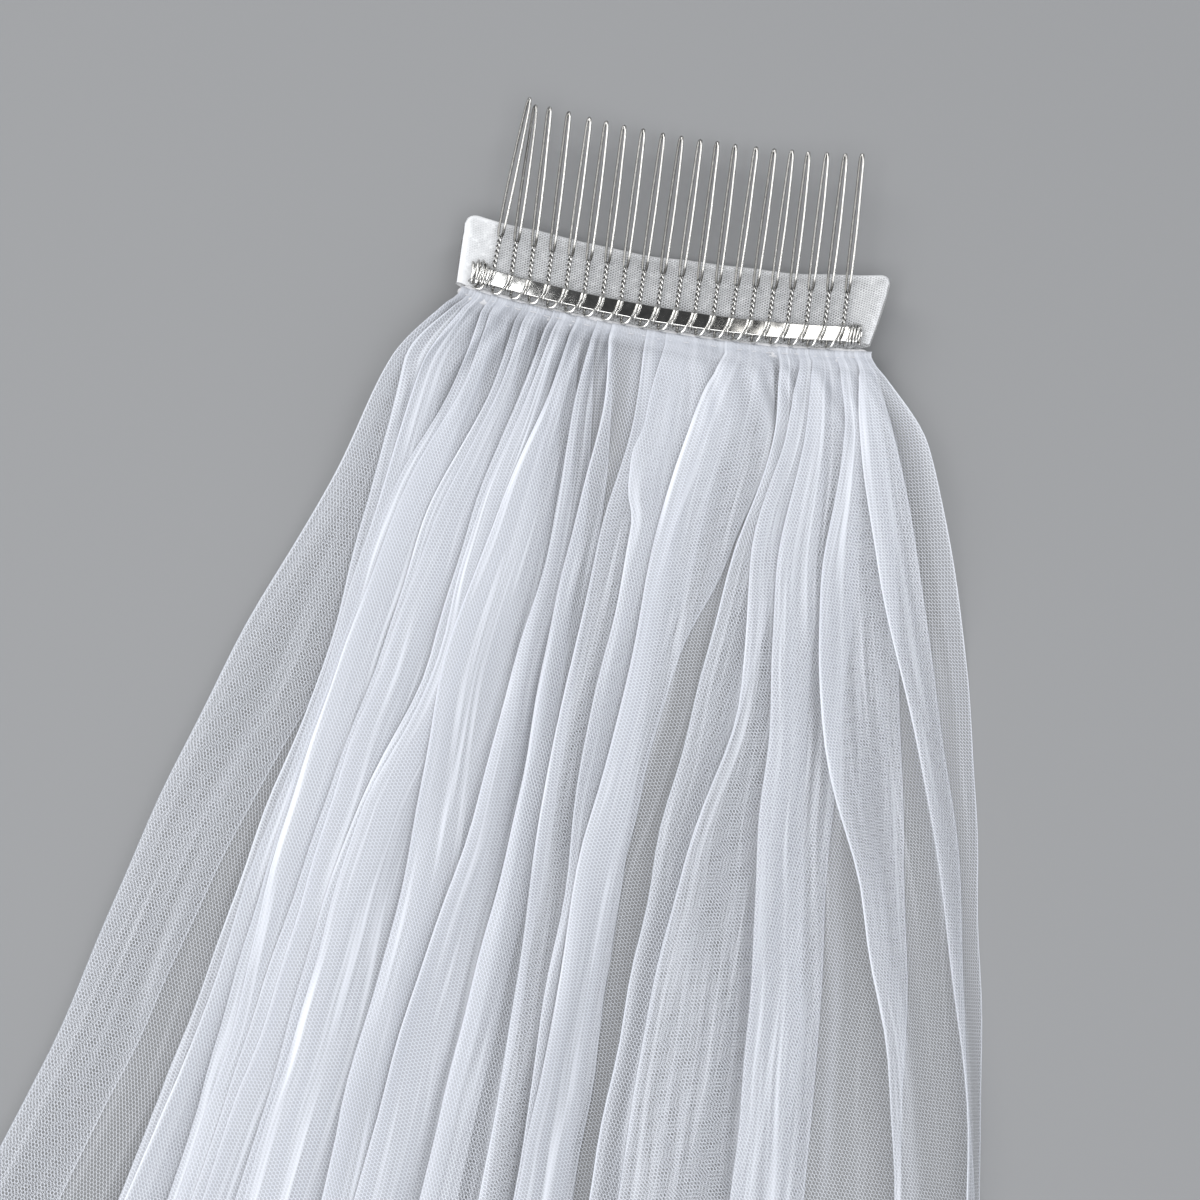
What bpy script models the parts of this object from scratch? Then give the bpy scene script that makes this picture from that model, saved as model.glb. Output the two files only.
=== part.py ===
"""Bridal veil laid out flat: gathered tulle, folded top band and a curved wire comb.

Metres, +Z up. The veil lies along Y: the comb teeth point to +Y, the hem is at -Y.
The origin is under the middle of the whole object, on the surface it lies on.
"""
import math

import bmesh
import bpy
from mathutils import Vector

MM = 0.001

# ---------------------------------------------------------------- main sizes
# all lengths below are millimetres, turned into metres by MM when the mesh is made
WALL = 1.0                 # thickness of the tulle wall
COMB_RADIUS = 124.0        # curve of the comb along its spine
STRIP_LENGTH = 79.0
STRIP_WIDTH = 3.2
STRIP_THICK = 0.6
STRIP_UNDERSIDE = 3.85     # height of the strip's back above the table, mid-comb
WIRE_RADIUS = 0.28
SEAM_GAP = 0.35            # clear gap between neighbouring pieces

BAND_LEFT = -42.6
BAND_RIGHT = 41.6
BAND_LOW = -2.0
BAND_HIGH = 12.9
BAND_THICK = 1.8
BAND_UNDERSIDE = 0.70

RIDGE_MIDDLE = -3.65       # centre line of the gathered seam roll, along Y
RIDGE_HEIGHT = 2.35
RIDGE_RADIUS = 1.35

TOOTH_COUNT = 20
TOOTH_FIRST = -35.9        # spine position of the first tooth
TOOTH_PITCH = 3.745
TOOTH_TIP_Y = 37.9
TWIST_TOP_Y = 8.2          # where the twisted stem opens into the loop

VEIL_TOP_Y = -5.35         # cut top edge of the tulle, just under the seam roll
VEIL_LENGTH = 750.0
BEND_FADE = 58.0           # the cloth leaves the comb's curve over this length

# where the whole object is moved so that the origin is under its middle
SHIFT_X = 37.7835
SHIFT_Y = 358.725

# ------------------------------------------------- stations down the cloth
# down: distance below the top edge along the cloth
# height: height of the fold crests over the fold bottoms
# lean_left, lean_right: how far a bottom crease lies to the right of its crest,
#   for the first and for the last fold
STATION_COLUMNS = ("down", "height", "lean_left", "lean_right")
STATIONS = (
    (0.0, 2.7, 6.6, 6.4),
    (15.0, 5.6, 12.5, 8.5),
    (40.0, 8.6, 19.5, 9.0),
    (70.0, 10.8, 24.5, 9.5),
    (103.0, 11.6, 28.0, 8.5),
    (150.0, 11.2, 30.5, 9.0),
    (750.0, 8.5, 40.0, 40.0),
)

# one row for each fold: position across of its crest edge at each station,
# and its own share of the height
FOLD_COLUMNS = ("x0", "x15", "x40", "x70", "x103", "x150", "x750", "share")
FOLDS = (
    (-42.6, -51.0, -58.0, -67.0, -75.0, -84.0, -262.0, 0.86),
    (-37.8, -45.0, -50.0, -54.0, -59.0, -64.0, -224.0, 0.88),
    (-33.0, -38.0, -43.0, -47.0, -51.5, -55.5, -197.0, 0.90),
    (-28.2, -31.5, -36.5, -40.5, -44.5, -48.0, -171.0, 0.92),
    (-23.4, -25.5, -29.5, -33.0, -37.0, -40.0, -146.0, 0.94),
    (-18.6, -19.5, -23.0, -26.5, -29.5, -32.0, -121.0, 0.96),
    (-13.8, -13.5, -16.5, -19.0, -21.5, -23.5, -98.0, 0.98),
    (-9.0, -8.0, -10.5, -12.0, -13.5, -15.0, -76.0, 0.99),
    (-4.2, -2.6, -4.5, -5.4, -6.0, -6.0, -55.0, 1.00),
    (0.6, 2.9, 1.7, 1.4, 1.4, 2.0, -34.0, 1.00),
    (5.4, 8.1, 7.8, 7.9, 8.5, 10.0, -13.0, 1.00),
    (10.2, 13.4, 14.0, 14.5, 15.7, 17.6, 8.0, 0.99),
    (15.0, 18.7, 20.4, 21.4, 23.2, 25.8, 29.0, 0.98),
    (19.8, 24.0, 26.7, 28.6, 31.2, 35.0, 51.0, 0.96),
    (24.6, 29.3, 33.0, 36.0, 39.8, 45.0, 74.0, 0.94),
    (29.4, 34.7, 39.6, 43.8, 48.8, 55.0, 98.0, 0.92),
    (34.2, 40.3, 46.6, 52.0, 58.2, 64.8, 122.0, 0.90),
    (39.0, 46.0, 54.0, 60.5, 67.5, 74.0, 147.0, 0.88),
)

# rows across the cloth where its section is built
ROWS = (0.0, 6.0, 12.0, 19.0, 27.0, 36.0, 46.0, 57.0, 70.0, 86.0, 103.0, 125.0,
        150.0, 190.0, 240.0, 300.0, 370.0, 450.0, 540.0, 640.0, 750.0)

# one row for each tooth: where its tip lies across, and how much the tip is raised
TOOTH_COLUMNS = ("tip_x", "tip_rise")
TEETH = (
    (-34.3, 2.6), (-32.6, 0.4), (-30.0, 1.2), (-26.2, 1.4), (-22.0, 1.2),
    (-18.6, 1.3), (-15.0, 1.2), (-11.2, 1.4), (-7.2, 1.2), (-3.5, 1.3),
    (0.3, 1.2), (3.7, 1.4), (7.3, 1.2), (11.5, 1.3), (15.1, 1.2),
    (18.6, 1.4), (21.8, 1.1), (25.5, 1.3), (29.1, 1.2), (32.4, 1.5),
)

# colour, roughness, metallic
MATERIALS = {
    "tulle_net": ((0.86, 0.87, 0.90), 0.75, 0.0),
    "band_net": ((0.84, 0.84, 0.85), 0.80, 0.0),
    "seam_net": ((0.85, 0.85, 0.87), 0.80, 0.0),
    "comb_metal": ((0.72, 0.71, 0.69), 0.12, 1.0),
}


# ------------------------------------------------------------- small helpers
def smooth(a, b, x):
    t = min(1.0, max(0.0, (x - a) / (b - a)))
    return t * t * (3.0 - 2.0 * t)


def slopes(xs, ys):
    """Gentle slopes for a curve through the points that does not overshoot."""
    n = len(xs)
    step = [(ys[i + 1] - ys[i]) / (xs[i + 1] - xs[i]) for i in range(n - 1)]
    out = [step[0]]
    for i in range(1, n - 1):
        a = step[i - 1]
        b = step[i]
        if a * b <= 0.0:
            out.append(0.0)
        else:
            out.append(2.0 * a * b / (a + b))
    out.append(step[-1])
    return out


def follow(xs, ys, x):
    """Value at x of the smooth curve through the points xs, ys."""
    m = slopes(xs, ys)
    i = 0
    while i < len(xs) - 2 and x > xs[i + 1]:
        i += 1
    h = xs[i + 1] - xs[i]
    t = min(1.0, max(0.0, (x - xs[i]) / h))
    a = 2.0 * t ** 3 - 3.0 * t ** 2 + 1.0
    b = t ** 3 - 2.0 * t ** 2 + t
    c = -2.0 * t ** 3 + 3.0 * t ** 2
    d = t ** 3 - t ** 2
    return a * ys[i] + b * h * m[i] + c * ys[i + 1] + d * h * m[i + 1]


def on_comb(x, y, z, share=1.0):
    """Bend a point with the comb: x runs along the spine's curve."""
    angle = x / COMB_RADIUS
    bent_x = (COMB_RADIUS - z) * math.sin(angle)
    bent_z = COMB_RADIUS - (COMB_RADIUS - z) * math.cos(angle)
    return (x + (bent_x - x) * share, y, z + (bent_z - z) * share)


def placed(point):
    return Vector(((point[0] + SHIFT_X) * MM, (point[1] + SHIFT_Y) * MM, point[2] * MM))


def make_material(name):
    colour, rough, metallic = MATERIALS[name]
    mat = bpy.data.materials.new(name)
    mat.use_nodes = True
    node = mat.node_tree.nodes["Principled BSDF"]
    node.inputs["Base Color"].default_value = (colour[0], colour[1], colour[2], 1.0)
    node.inputs["Roughness"].default_value = rough
    node.inputs["Metallic"].default_value = metallic
    mat.diffuse_color = (colour[0], colour[1], colour[2], 1.0)
    return mat


def finish_mesh(bm, name, material, collection):
    bmesh.ops.recalc_face_normals(bm, faces=bm.faces[:])
    bmesh.ops.triangulate(bm, faces=bm.faces[:])
    mesh = bpy.data.meshes.new(name)
    bm.to_mesh(mesh)
    bm.free()
    mesh.materials.append(material)
    obj = bpy.data.objects.new(name, mesh)
    collection.objects.link(obj)
    return obj


def tube_mesh(points, radius, sides):
    """Closed round wire through the points, as a mesh in millimetres."""
    curve = bpy.data.curves.new("wire", "CURVE")
    curve.dimensions = "3D"
    curve.bevel_depth = radius
    curve.bevel_resolution = (sides - 4) // 2
    curve.resolution_u = 1
    curve.render_resolution_u = 0
    curve.use_fill_caps = True
    line = curve.splines.new("POLY")
    line.points.add(len(points) - 1)
    for item, place in zip(line.points, points):
        item.co = (place[0], place[1], place[2], 1.0)
    obj = bpy.data.objects.new("wire", curve)
    bpy.context.scene.collection.objects.link(obj)
    bpy.context.view_layer.update()
    graph = bpy.context.evaluated_depsgraph_get()
    mesh = bpy.data.meshes.new_from_object(obj.evaluated_get(graph))
    bpy.data.objects.remove(obj)
    bpy.data.curves.remove(curve)
    bm = bmesh.new()
    bm.from_mesh(mesh)
    bmesh.ops.remove_doubles(bm, verts=bm.verts[:], dist=0.00005)
    bmesh.ops.recalc_face_normals(bm, faces=bm.faces[:])
    bm.to_mesh(mesh)
    bm.free()
    return mesh


def ring_loft(rings):
    """Closed body through equal rings of points, capped at both ends."""
    bm = bmesh.new()
    made = [[bm.verts.new(p) for p in ring] for ring in rings]
    count = len(rings[0])
    for low, high in zip(made[:-1], made[1:]):
        for i in range(count):
            j = (i + 1) % count
            bm.faces.new((low[i], low[j], high[j], high[i]))
    bm.faces.new(list(reversed(made[0])))
    bm.faces.new(made[-1])
    return bm


# ----------------------------------------------------------------- the tulle
def station(down):
    xs = [row[0] for row in STATIONS]
    out = {}
    for i, name in enumerate(STATION_COLUMNS[1:], 1):
        out[name] = follow(xs, [row[i] for row in STATIONS], down)
    return out


def fold_lines(down):
    """Crest edge, bottom edge and height of every fold at one distance down."""
    here = station(down)
    stops = [row[0] for row in STATIONS]
    last = len(FOLDS) - 1
    lines = []
    for i, row in enumerate(FOLDS):
        crest = follow(stops, row[:7], down)
        share = i / last
        lean = here["lean_left"] * (1.0 - share) + here["lean_right"] * share
        lines.append((crest, crest + lean, here["height"] * row[7]))
    return lines


def section(down):
    """Centre line of the cloth across one row: points and what kind each is."""
    lines = fold_lines(down)
    pitch = [b[0] - a[0] for a, b in zip(lines[:-1], lines[1:])]
    pitch.append(pitch[-1])
    base = WALL / 2.0
    # free side edge, lying under the first fold
    first = lines[0]
    reach = min(15.0, first[1] - first[0] - 0.5 * pitch[0] - 3.4)
    points = [(first[0] + reach, base, "edge")]
    for i, (crest, bottom, height) in enumerate(lines):
        top = base + height
        flat = 0.5 * pitch[i]
        # crest: sharp left edge, then the top strip
        points.append((crest, top - 0.04 * height, "crease"))
        points.append((crest + flat, top, "soft"))
        # arm down to the right
        start = bottom - 0.5 * pitch[i]
        points.append(((crest + flat + start) / 2.0, base + 0.56 * height, "arm"))
        # bottom strip, flat on the table, then its sharp right edge
        points.append((start, base, "base"))
        if i < len(lines) - 1:
            points.append((bottom, base, "heel"))
            after = lines[i + 1]
            far = 0.96 * after[2]
            points.append(((bottom + after[0]) / 2.0, base + 0.5 * far + 0.06 * height, "arm"))
        else:
            points.append((bottom, base, "edge"))
    return points


def offsets(points):
    """Wall surface points on both sides of the centre line of one row."""
    half = WALL / 2.0
    upper = []
    lower = []
    count = len(points)
    for i, (x, z, kind) in enumerate(points):
        before = points[max(0, i - 1)]
        after = points[min(count - 1, i + 1)]
        ax = x - before[0]
        az = z - before[1]
        bx = after[0] - x
        bz = after[1] - z
        la = math.hypot(ax, az)
        lb = math.hypot(bx, bz)
        if i == 0:
            ax, az, la = bx, bz, lb
        if i == count - 1:
            bx, bz, lb = ax, az, la
        na = (-az / la, ax / la)
        nb = (-bz / lb, bx / lb)
        mx = na[0] + nb[0]
        mz = na[1] + nb[1]
        size = math.hypot(mx, mz)
        turn = (ax * bz - az * bx) / (la * lb)
        if kind in ("crease", "heel"):
            # a sharp fold: blunt outside, full wall inside
            cosine = size / 2.0
            inner = min(half / max(cosine, 0.12), 0.72 * min(la, lb))
            outer = 1.15 * half
            mx /= size
            mz /= size
            if turn > 0.0:
                plus, minus = inner, outer
            else:
                plus, minus = outer, inner
            up = (x + mx * plus, z + mz * plus)
            down = (x - mx * minus, z - mz * minus)
            if kind == "heel":
                # keep the strip under the fold flat on the table
                if down[0] > up[0]:
                    down = (down[0], 0.0)
                else:
                    up = (up[0], 0.0)
        else:
            grow = min(1.3, 2.0 / max(size, 0.3))
            up = (x + mx / size * half * grow, z + mz / size * half * grow)
            down = (x - mx / size * half * grow, z - mz / size * half * grow)
            if kind in ("base", "edge"):
                low = down if down[1] < up[1] else up
                if kind == "base" or i in (0, count - 1):
                    flat = (low[0], 0.0)
                    if low is down:
                        down = flat
                    else:
                        up = flat
        upper.append(up)
        lower.append(down)
    return upper, lower


def path_share(x_top, x_hem):
    """How far a slanting line reaches down, as a share of its own length."""
    slant = (x_hem - x_top) / VEIL_LENGTH
    return math.sqrt(1.0 - slant * slant)


def build_tulle(collection, material):
    bm = bmesh.new()
    top_row = section(0.0)
    hem_row = section(VEIL_LENGTH)
    grid = []
    for down in ROWS:
        points = section(down)
        upper, lower = offsets(points)
        bend = 1.0 - smooth(0.0, BEND_FADE, down)
        row = []
        for i in range(len(points)):
            reach = path_share(top_row[i][0], hem_row[i][0])
            y = VEIL_TOP_Y - down * (1.0 - (1.0 - reach) * down / VEIL_LENGTH)
            pair = []
            for side in (upper, lower):
                place = on_comb(side[i][0], y, side[i][1], bend)
                pair.append(bm.verts.new(placed(place)))
            row.append(pair)
        grid.append(row)
    last = len(grid[0]) - 1
    for a, b in zip(grid[:-1], grid[1:]):
        for i in range(last):
            bm.faces.new((a[i][0], a[i + 1][0], b[i + 1][0], b[i][0]))
            bm.faces.new((a[i][1], b[i][1], b[i + 1][1], a[i + 1][1]))
        bm.faces.new((a[0][0], b[0][0], b[0][1], a[0][1]))
        bm.faces.new((a[last][0], a[last][1], b[last][1], b[last][0]))
    for i in range(last):
        bm.faces.new((grid[0][i][0], grid[0][i][1], grid[0][i + 1][1], grid[0][i + 1][0]))
        bm.faces.new((grid[-1][i][0], grid[-1][i + 1][0], grid[-1][i + 1][1], grid[-1][i][1]))
    return finish_mesh(bm, "veil_tulle", material, collection)


# ------------------------------------------------------- band and seam roll
def build_band(collection, material):
    steps = 22
    half = BAND_THICK / 2.0
    middle = BAND_UNDERSIDE + half
    soft = 0.55
    rings = []
    for k in range(steps + 1):
        t = k / steps
        x = BAND_LEFT + (BAND_RIGHT - BAND_LEFT) * t
        # rounded upper corners, and a right end that swells and draws in again
        near_left = x - BAND_LEFT
        near_right = BAND_RIGHT - x
        drop = 1.6 * (1.0 - smooth(0.0, 3.0, near_left)) + 0.6 * (1.0 - smooth(0.0, 3.0, near_right))
        rise = 0.9 * (1.0 - smooth(0.0, 3.5, near_left)) + 2.6 * (1.0 - smooth(0.0, 6.0, near_right))
        low = BAND_LOW + 0.6 * rise
        high = BAND_HIGH - drop + 0.7 * t
        ring = []
        outline = (
            (low + soft, -half), (high - soft, -half), (high, -half + soft), (high, half - soft),
            (high - soft, half), ((low + high) / 2.0, half + 0.12), (low + soft, half),
            (low, half - soft), (low, -half + soft),
        )
        for y, z in outline:
            ring.append(placed(on_comb(x, y, middle + z)))
        rings.append(ring)
    return finish_mesh(ring_loft(rings), "gather_band", material, collection)


def build_ridge(collection, material):
    steps = 46
    sides = 7
    rings = []
    for k in range(steps + 1):
        t = k / steps
        x = BAND_LEFT + 0.3 + (BAND_RIGHT - BAND_LEFT - 0.9) * t
        # puckers drawn up by the gathering thread
        wave = math.sin(t * 2.0 * math.pi * 18.0) + 0.5 * math.sin(t * 2.0 * math.pi * 7.0 + 1.0)
        end = min(1.0, 0.55 + 6.0 * min(t, 1.0 - t))
        radius = RIDGE_RADIUS * end * (1.0 + 0.07 * wave)
        side = 0.13 * math.sin(t * 2.0 * math.pi * 11.0)
        ring = []
        for s in range(sides):
            a = 2.0 * math.pi * s / sides
            y = RIDGE_MIDDLE + side + 0.92 * radius * math.cos(a)
            z = RIDGE_HEIGHT + 1.05 * radius * math.sin(a)
            ring.append(placed(on_comb(x, y, z)))
        rings.append(ring)
    return finish_mesh(ring_loft(rings), "seam_ridge", material, collection)


# -------------------------------------------------------------------- comb
def build_strip(collection, material):
    steps = 20
    half = STRIP_LENGTH / 2.0
    rings = []
    for k in range(steps + 1):
        t = k / steps
        x = -half + STRIP_LENGTH * t
        end = min(1.0, 0.45 + 0.55 * smooth(0.0, 1.8, half - abs(x)))
        y = STRIP_WIDTH / 2.0 * end
        ring = []
        for sy, sz in ((-1, 0), (1, 0), (1, 1), (-1, 1)):
            ring.append(placed(on_comb(x, sy * y, STRIP_UNDERSIDE + sz * STRIP_THICK)))
        rings.append(ring)
    # close rings at the rounded ends
    return finish_mesh(ring_loft(rings), "comb_strip", material, collection)


def wrap_points(x_high, x_low, turns, start):
    """Corner points of wire laid round the strip, moving from x_high to x_low."""
    reach_y = STRIP_WIDTH / 2.0 + SEAM_GAP + WIRE_RADIUS
    front = STRIP_UNDERSIDE + STRIP_THICK + SEAM_GAP + WIRE_RADIUS
    back = STRIP_UNDERSIDE - SEAM_GAP - WIRE_RADIUS
    corners = (
        (reach_y - 0.25, front), (-reach_y + 0.25, front), (-reach_y, front - 0.45),
        (-reach_y, back + 0.45), (-reach_y + 0.25, back), (reach_y - 0.25, back),
        (reach_y, back + 0.45), (reach_y, front - 0.45),
    )
    total = int(turns * len(corners))
    points = []
    for k in range(total + 1):
        y, z = corners[(start + k) % len(corners)]
        x = x_high + (x_low - x_high) * k / total
        points.append((x, y, z))
    return points


def build_coil(name, x_start, x_end, turns, collection, material):
    mesh = tube_mesh(wrap_points(x_start, x_end, turns, 1), WIRE_RADIUS, 4)
    bm = bmesh.new()
    bm.from_mesh(mesh)
    for v in bm.verts:
        v.co = placed(on_comb(v.co.x, v.co.y, v.co.z))
    return finish_mesh(bm, name, material, collection)


def tooth_parts():
    """Wrap, twisted stem and loop of one tooth, standing at x = 0."""
    reach_y = STRIP_WIDTH / 2.0 + SEAM_GAP + WIRE_RADIUS
    front = STRIP_UNDERSIDE + STRIP_THICK + SEAM_GAP + WIRE_RADIUS
    back = STRIP_UNDERSIDE - SEAM_GAP - WIRE_RADIUS
    level = STRIP_UNDERSIDE + STRIP_THICK / 2.0
    wrap = [
        (0.0, reach_y + 0.9, level + 0.33), (0.15, reach_y - 0.1, front),
        (-0.75, -reach_y + 0.2, front), (-0.90, -reach_y, level),
        (-0.75, -reach_y + 0.2, back), (0.0, reach_y - 0.1, back),
        (0.0, reach_y + 0.9, level - 0.33),
    ]
    loop = [(-0.34, TWIST_TOP_Y - 0.8, level), (-0.48, TWIST_TOP_Y + 0.6, level)]
    loop.append((-0.70, 22.0, level))
    loop.append((-0.46, TOOTH_TIP_Y - 1.3, level))
    loop.append((0.0, TOOTH_TIP_Y - WIRE_RADIUS, level))
    loop.append((0.46, TOOTH_TIP_Y - 1.3, level))
    loop.append((0.70, 22.0, level))
    loop.append((0.48, TWIST_TOP_Y + 0.6, level))
    loop.append((0.34, TWIST_TOP_Y - 0.8, level))
    start = reach_y + 0.25
    length = TWIST_TOP_Y + 0.1 - start
    rings = []
    beads = 8
    for k in range(beads + 1):
        t = k / beads
        turn = math.pi * (0.5 + 2.5 * t)
        ring = []
        for s in range(6):
            a = 2.0 * math.pi * s / 6.0
            px = 0.54 * math.cos(a)
            pz = 0.33 * math.sin(a)
            x = px * math.cos(turn) - pz * math.sin(turn)
            z = px * math.sin(turn) + pz * math.cos(turn)
            ring.append((x, start + length * t, level + z))
        rings.append(ring)
    stem = ring_loft(rings)
    bmesh.ops.recalc_face_normals(stem, faces=stem.faces[:])
    stem_mesh = bpy.data.meshes.new("stem")
    stem.to_mesh(stem_mesh)
    stem.free()
    return stem_mesh, tube_mesh(wrap, WIRE_RADIUS, 4), tube_mesh(loop, WIRE_RADIUS, 4)


def joined_tooth(cutters):
    """The three parts of a tooth joined into one closed body."""
    stem, wrap, loop = tooth_parts()
    helpers = []
    for name, mesh in (("tooth_stem", stem), ("tooth_wrap", wrap), ("tooth_loop", loop)):
        obj = bpy.data.objects.new(name, mesh)
        cutters.objects.link(obj)
        helpers.append(obj)
    for other in helpers[1:]:
        step = helpers[0].modifiers.new("join", "BOOLEAN")
        step.operation = "UNION"
        step.solver = "EXACT"
        step.object = other
    bpy.context.view_layer.update()
    graph = bpy.context.evaluated_depsgraph_get()
    mesh = bpy.data.meshes.new_from_object(helpers[0].evaluated_get(graph))
    for obj in helpers:
        bpy.data.objects.remove(obj)
    return mesh


def build_tooth(index, master, collection, material):
    tip_x, tip_rise = TEETH[index]
    base_x = TOOTH_FIRST + TOOTH_PITCH * index
    bm = bmesh.new()
    bm.from_mesh(master)
    bmesh.ops.remove_doubles(bm, verts=bm.verts[:], dist=0.00005)
    foot = STRIP_WIDTH / 2.0
    # the tip's place is given in plan, so undo the comb's curve for it
    plan = COMB_RADIUS - STRIP_UNDERSIDE - STRIP_THICK / 2.0
    tip_along = COMB_RADIUS * math.asin(tip_x / plan)
    for v in bm.verts:
        t = max(0.0, (v.co.y - foot) / (TOOTH_TIP_Y - foot))
        x = base_x + v.co.x + (tip_along - base_x) * (0.8 * t + 0.2 * t * t)
        z = v.co.z + tip_rise * t * t
        v.co = placed(on_comb(x, v.co.y, z))
    return finish_mesh(bm, "comb_tooth_%02d" % (index + 1), material, collection)


# --------------------------------------------------------------------- main
def main():
    for obj in list(bpy.data.objects):
        bpy.data.objects.remove(obj)
    scene = bpy.context.scene
    parts = bpy.data.collections.new("bridal_veil")
    scene.collection.children.link(parts)
    cutters = bpy.data.collections.new("cutters")
    scene.collection.children.link(cutters)
    made = {name: make_material(name) for name in MATERIALS}
    build_tulle(parts, made["tulle_net"])
    build_band(parts, made["band_net"])
    build_ridge(parts, made["seam_net"])
    build_strip(parts, made["comb_metal"])
    half = STRIP_LENGTH / 2.0
    build_coil("comb_coil_left", -half + 0.5, -half + 1.8, 1.5, parts, made["comb_metal"])
    build_coil("comb_coil_right", half - 3.2, half - 0.6, 3.0, parts, made["comb_metal"])
    master = joined_tooth(cutters)
    for index in range(TOOTH_COUNT):
        build_tooth(index, master, parts, made["comb_metal"])
    low = Vector((9.0, 9.0, 9.0))
    high = Vector((-9.0, -9.0, -9.0))
    total = 0
    for obj in parts.objects:
        total += len(obj.data.polygons)
        for v in obj.data.vertices:
            for axis in range(3):
                low[axis] = min(low[axis], v.co[axis])
                high[axis] = max(high[axis], v.co[axis])
    print("triangles", total, "low", tuple(round(c, 6) for c in low), "high", tuple(round(c, 6) for c in high))


main()
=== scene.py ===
"""Looks of the bridal veil: folded net, folded band, puckered seam and polished wire comb.

Lengths in the tables are millimetres. Points are worked out in the comb's own plan:
x runs along the comb's spine, y towards the tips of the teeth, z up from the table.
Distances down the cloth run from the seam towards the hem.
"""
import math
import random

import bpy
import numpy as np
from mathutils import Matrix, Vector


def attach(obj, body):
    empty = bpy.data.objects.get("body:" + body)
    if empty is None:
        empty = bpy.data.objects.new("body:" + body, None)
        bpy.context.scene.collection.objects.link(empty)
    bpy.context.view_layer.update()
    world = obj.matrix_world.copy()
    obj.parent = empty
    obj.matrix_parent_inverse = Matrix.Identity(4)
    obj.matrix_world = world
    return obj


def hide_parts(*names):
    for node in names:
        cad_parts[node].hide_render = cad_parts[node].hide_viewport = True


MM = 0.001

# ------------------------------------------------------------ sizes shared with the solids
# radius of the spine's curve
COMB_RADIUS = 124.0
# from the comb's plan to the shared frame
SHIFT_X = 37.7835
SHIFT_Y = 358.725
STRIP_LENGTH = 79.0
STRIP_WIDTH = 3.2
STRIP_THICK = 0.6
STRIP_UNDERSIDE = 3.85
BAND_LEFT = -42.6
BAND_RIGHT = 41.6
BAND_LOW = -2.0
BAND_HIGH = 12.9
BAND_THICK = 1.8
BAND_UNDERSIDE = 0.70
# the seam roll: its middle, and an oval section a little wider than it is high
RIDGE_MIDDLE = -3.65
RIDGE_HEIGHT = 2.35
RIDGE_RADIUS = 1.35
RIDGE_WIDER = 1.06
RIDGE_LOWER = 0.92
TOOTH_COUNT = 20
TOOTH_FIRST = -35.9
TOOTH_PITCH = 3.745
TOOTH_TIP_Y = 37.9
# place of each tooth's tip across, and how much higher than the spine's middle the tip lies
TEETH = (
    (-34.3, 2.6), (-32.6, 0.4), (-30.0, 1.2), (-26.2, 1.4), (-22.0, 1.2),
    (-18.6, 1.3), (-15.0, 1.2), (-11.2, 1.4), (-7.2, 1.2), (-3.5, 1.3),
    (0.3, 1.2), (3.7, 1.4), (7.3, 1.2), (11.5, 1.3), (15.1, 1.2),
    (18.6, 1.4), (21.8, 1.1), (25.5, 1.3), (29.1, 1.2), (32.4, 1.5),
)
VEIL_TOP_Y = -5.35
VEIL_LENGTH = 750.0
# distance down the cloth over which the comb's curve fades out of it
BEND_FADE = 58.0

# ------------------------------------------------------------------- folds of the net
# distances down the cloth where the fold lines are placed, and the height of the heap there
STOPS = (0.0, 15.0, 40.0, 70.0, 103.0, 150.0, VEIL_LENGTH)
HEIGHTS = (2.7, 5.6, 8.6, 10.8, 11.6, 11.2, 8.5)

# crest creases, left to right: place across at each of the stops
CRESTS = (
    (-42.6, -51.9, -57.8, -66.7, -75.0, -84.0, -262.0),
    (-40.9, -49.4, -49.5, -51.0, -55.9, -61.7, -232.0),
    (-39.4, -45.8, -48.0, -50.0, -54.5, -60.2, -222.0),
    (-36.3, -38.4, -45.5, -49.0, -52.8, -55.5, -196.0),
    (-34.6, -36.6, -44.2, -47.8, -51.7, -54.2, -186.0),
    (-29.4, -31.2, -37.5, -41.1, -46.0, -50.8, -156.0),
    (-27.9, -29.8, -36.2, -39.9, -44.6, -49.0, -146.0),
    (-23.2, -25.5, -30.1, -31.6, -40.0, -44.3, -116.0),
    (-21.7, -24.1, -28.8, -30.6, -38.6, -42.8, -104.0),
    (-18.2, -20.2, -25.4, -29.1, -28.7, -30.8, -78.0),
    (-14.0, -14.9, -13.9, -16.4, -19.2, -24.6, -56.0),
    (-10.8, -9.2, -10.4, -10.8, -11.6, -14.0, -40.0),
    (-3.6, -2.9, -5.3, -6.1, -6.3, -4.6, -24.0),
    (0.4, -0.8, 0.8, -0.8, -0.2, 0.8, -8.0),
    (12.5, 8.2, 5.3, 4.4, 2.2, 1.9, 10.0),
    (23.5, 24.7, 20.5, 18.0, 15.0, 14.4, 36.0),
    (27.6, 27.0, 23.7, 25.4, 20.6, 18.6, 52.0),
    (30.2, 30.7, 29.0, 31.4, 34.3, 38.1, 82.0),
    (35.4, 38.5, 37.7, 41.3, 53.2, 66.3, 112.0),
    (39.4, 41.6, 48.2, 59.1, 68.6, 79.2, 146.0),
)

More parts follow.
